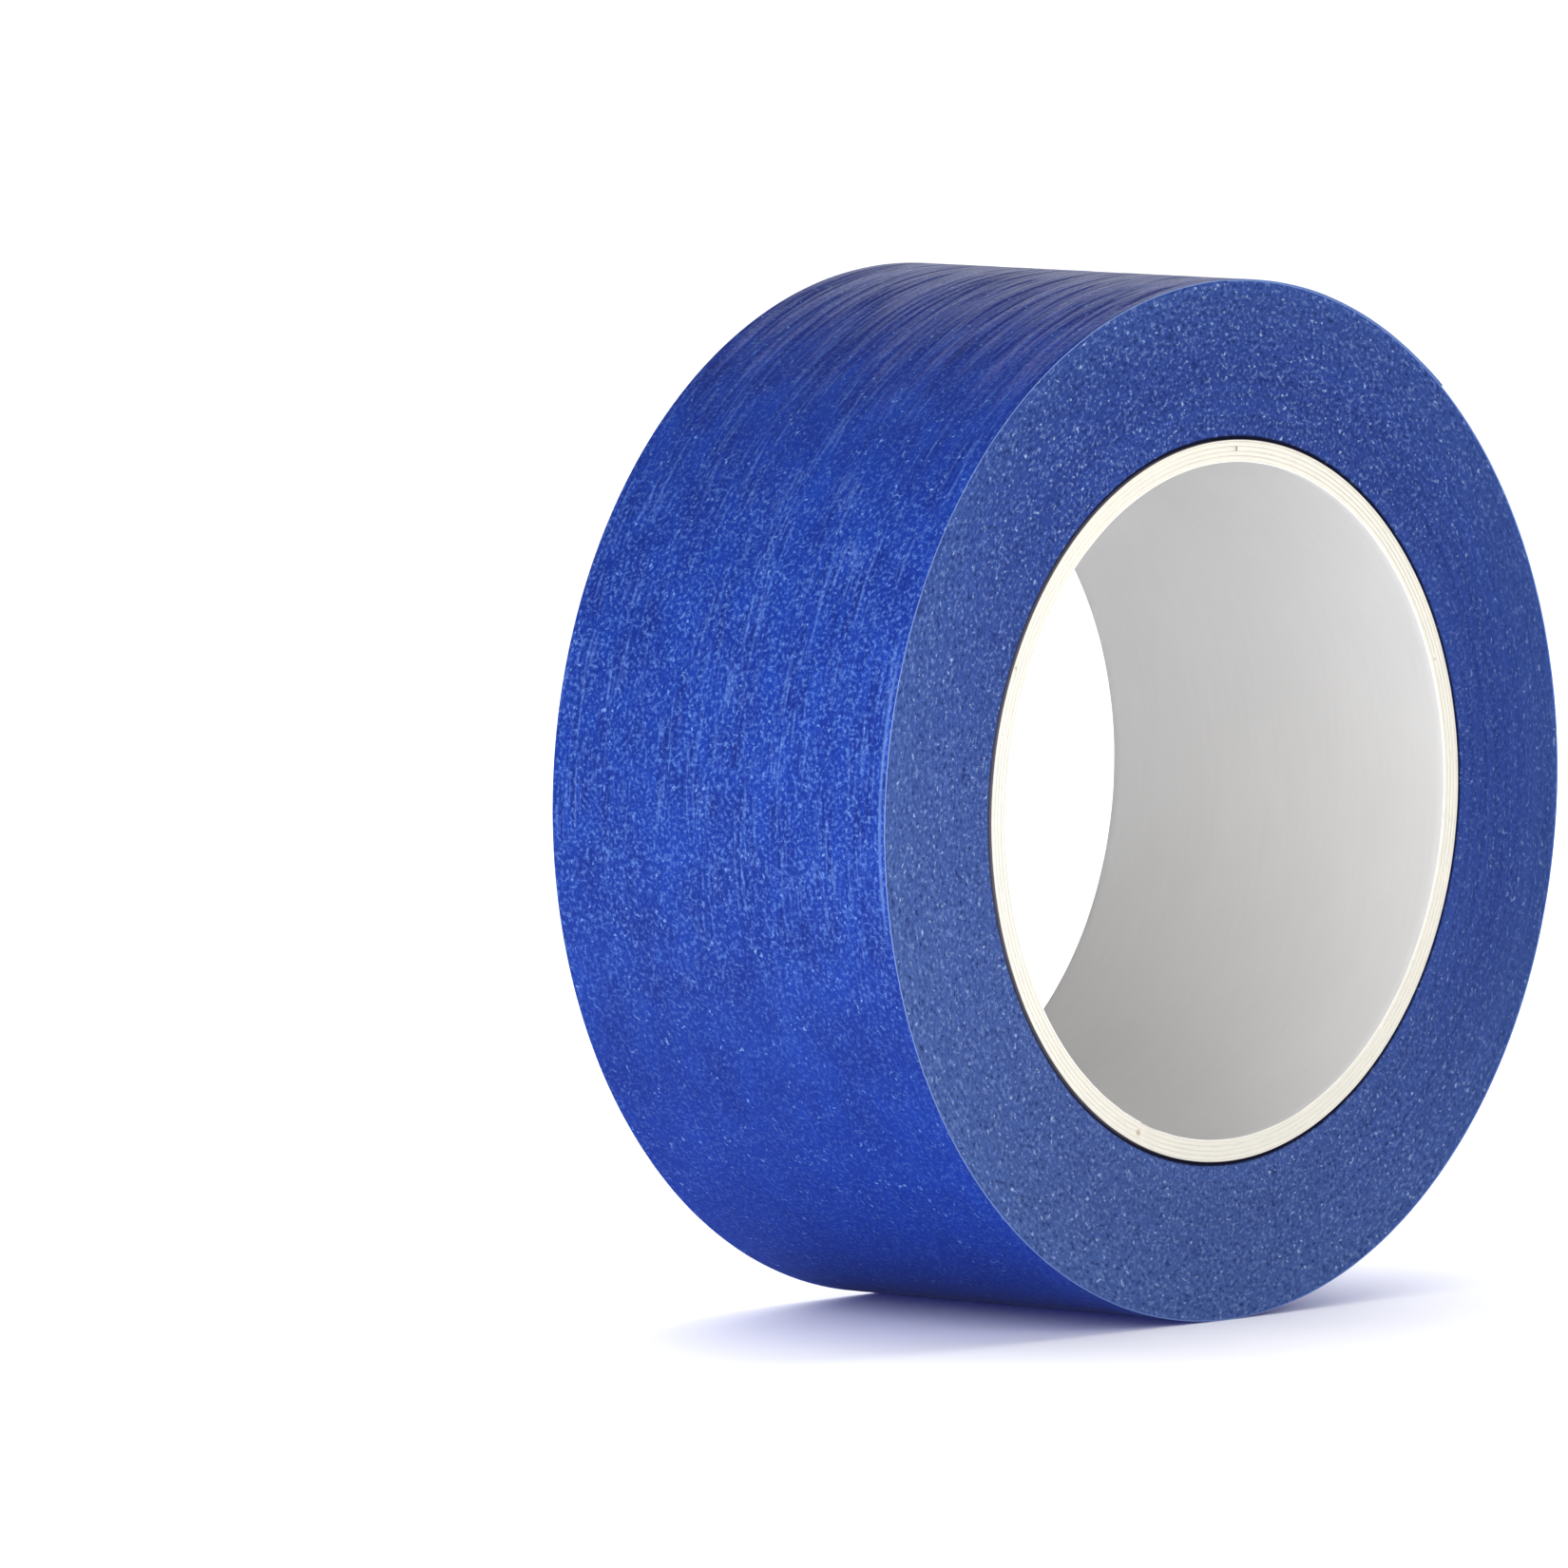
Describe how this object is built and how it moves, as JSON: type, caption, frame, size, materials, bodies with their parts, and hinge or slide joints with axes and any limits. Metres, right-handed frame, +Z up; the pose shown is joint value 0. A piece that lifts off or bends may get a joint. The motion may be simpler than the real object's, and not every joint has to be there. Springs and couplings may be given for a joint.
{
  "type": "masking tape roll",
  "caption": "Roll of blue crepe-paper masking tape on a spirally wound white paper core, with a free end that peels up.",
  "frame": {"origin": "centre of the core's bore, halfway along its length", "axes": "the roll stands on its rim: +Y along the bore's axis, +Z up; seen from -Y with +X to the right, the free end runs clockwise over the top"},
  "size_m": [0.1176, 0.0494, 0.1176],
  "materials": {
    "core_liner_paper": "satin",
    "core_board": "matte",
    "tape_windings": "matte",
    "tape_backing": "satin",
    "tape_adhesive": "satin"
  },
  "bodies": {
    "roll": {"core_inner_liner": "core_liner_paper", "core_board_ply_1": "core_board", "core_board_ply_2": "core_board", "core_board_ply_3": "core_board", "core_board_ply_4": "core_board", "core_outer_ply": "core_board", "tape_wound_body": "tape_windings", "tape_outer_turn_backing": "tape_backing", "tape_outer_turn_adhesive": "tape_adhesive"},
    "tape_end": {"tape_end_backing": "tape_backing", "tape_end_adhesive": "tape_adhesive"}
  },
  "joints": [
    {"name": "tape_end_peel", "type": "hinge", "parent": "roll", "child": "tape_end", "pos_m": [0.01022, 0, 0.05783], "axis": [0, -1, 0], "range_deg": [0, 135]}
  ]
}
